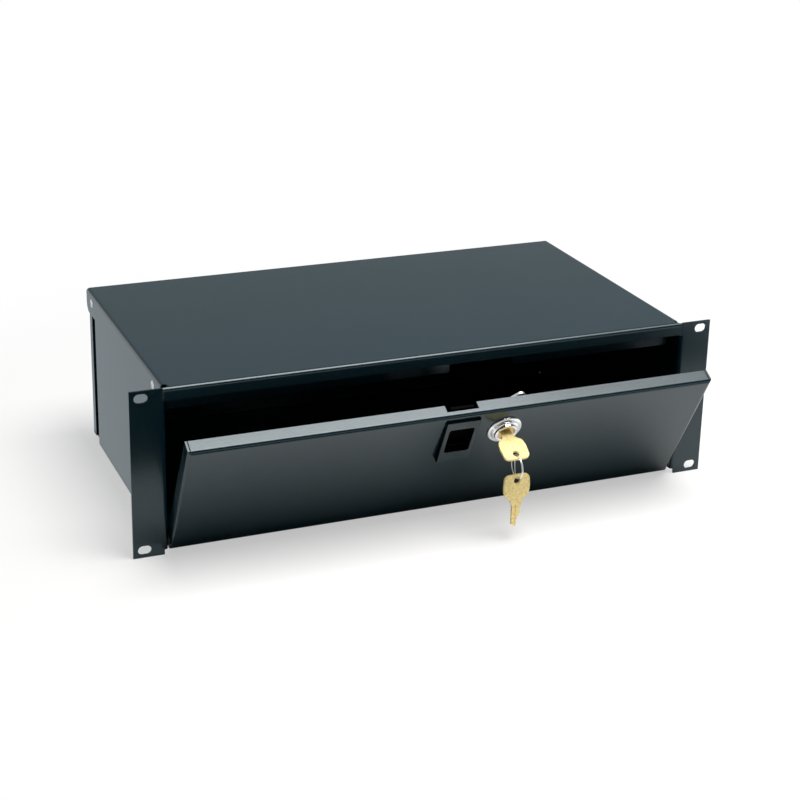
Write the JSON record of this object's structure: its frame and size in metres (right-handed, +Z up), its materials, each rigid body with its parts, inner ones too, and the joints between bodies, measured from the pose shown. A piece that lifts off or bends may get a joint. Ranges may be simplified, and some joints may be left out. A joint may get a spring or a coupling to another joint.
{
  "type": "rack mount lockbox",
  "caption": "Black steel rack-mount lockbox with a drop-down front door, a thumb slide latch and a keyed cam lock with keys on a ring.",
  "frame": {"origin": "centre of the four rack slots, on the rear faces of the ears", "axes": "+X along the rack's width, +Y into the rack, +Z up"},
  "size_m": [0.4826, 0.3179, 0.1324],
  "materials": {
    "powder_coat": "satin black powder coat",
    "black_plastic": "moulded black plastic",
    "nylon": "black nylon",
    "chrome": "polished chrome plate",
    "brass": "machined brass",
    "zinc_steel": "bright zinc plate",
    "rivet_aluminium": "plain aluminium"
  },
  "bodies": {
    "case": {"case_shell": "powder_coat", "floor_pan": "powder_coat", "strike_rail": "powder_coat", "rail_rivets": "rivet_aluminium", "rear_rivets": "rivet_aluminium", "hinge_pins": "zinc_steel", "hinge_spacers": "nylon", "hinge_clips": "zinc_steel"},
    "door": {"door_panel": "powder_coat", "latch_frame": "black_plastic", "latch_backplate": "zinc_steel", "lock_trim": "chrome", "lock_body": "chrome", "lock_washer": "zinc_steel", "lock_nut": "zinc_steel"},
    "latch": {"latch_slider": "black_plastic"},
    "lock_core": {"lock_plug": "brass", "lock_wafers": "brass", "wafer_springs": "zinc_steel", "stop_washer": "zinc_steel", "lock_cam": "zinc_steel", "cam_washer": "zinc_steel", "cam_screw": "zinc_steel"},
    "key_in_lock": {"key": "brass"},
    "ring": {"key_ring": "zinc_steel"},
    "hanging_key": {"spare_key": "brass"}
  },
  "joints": [
    {"name": "door_hinge", "type": "hinge", "parent": "case", "child": "door", "pos_m": [0, 0.0045, -0.05725], "axis": [1, 0, 0], "range_deg": [-29.5, 60.5]},
    {"name": "latch_slide", "type": "slide", "parent": "door", "child": "latch", "axis": [0, -0.4924, 0.8704], "range_m": [0, 0.0045]},
    {"name": "lock_turn", "type": "hinge", "parent": "door", "child": "lock_core", "pos_m": [0.0381, -0.04366, 0.01569], "axis": [0, 0.8704, 0.4924], "range_deg": [-52, 38]},
    {"name": "key_slide", "type": "slide", "parent": "lock_core", "child": "key_in_lock", "axis": [0, -0.8704, -0.4924], "range_m": [0, 0.02]},
    {"name": "ring_swing", "type": "hinge", "parent": "key_in_lock", "child": "ring", "pos_m": [0.0381, -0.06864, 0.00156], "axis": [1, 0, 0], "range_deg": [-40, 15]},
    {"name": "spare_key_swing", "type": "hinge", "parent": "ring", "child": "hanging_key", "pos_m": [0.0381, -0.06864, -0.01424], "axis": [0, 1, 0], "range_deg": [-20, 20]}
  ]
}
